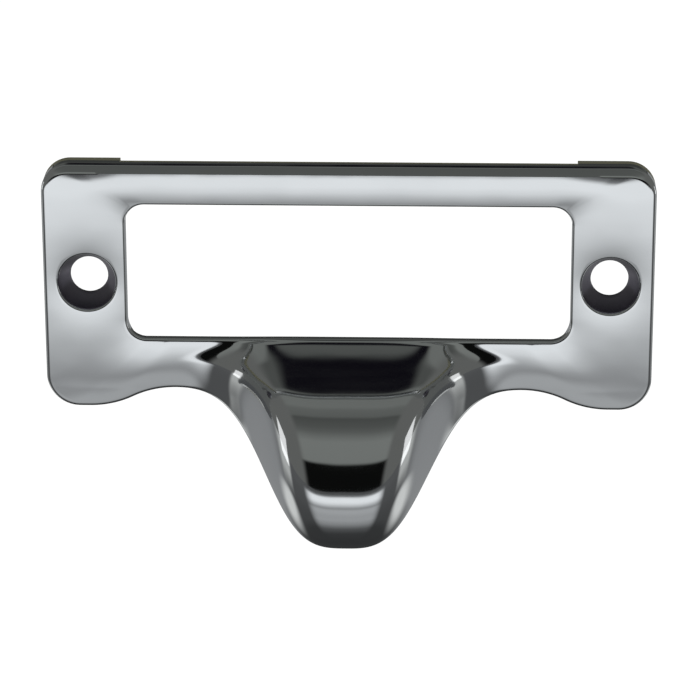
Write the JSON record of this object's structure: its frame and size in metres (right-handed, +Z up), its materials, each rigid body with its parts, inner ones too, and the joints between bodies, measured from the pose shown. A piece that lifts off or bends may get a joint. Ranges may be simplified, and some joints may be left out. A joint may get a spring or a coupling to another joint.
{
  "type": "label frame pull",
  "caption": "Polished cast label frame with a hooded finger pull under its card window and countersunk screw holes at the ends.",
  "frame": {"origin": "on the flat back, midway between the screw holes", "axes": "+X along the frame to the viewer's right, +Y from the front into the drawer, +Z up"},
  "size_m": [0.0742, 0.0219, 0.0437],
  "materials": {
    "polished_plating": "polished"
  },
  "bodies": {
    "root": {"label_frame_pull": "polished_plating"}
  },
  "joints": []
}
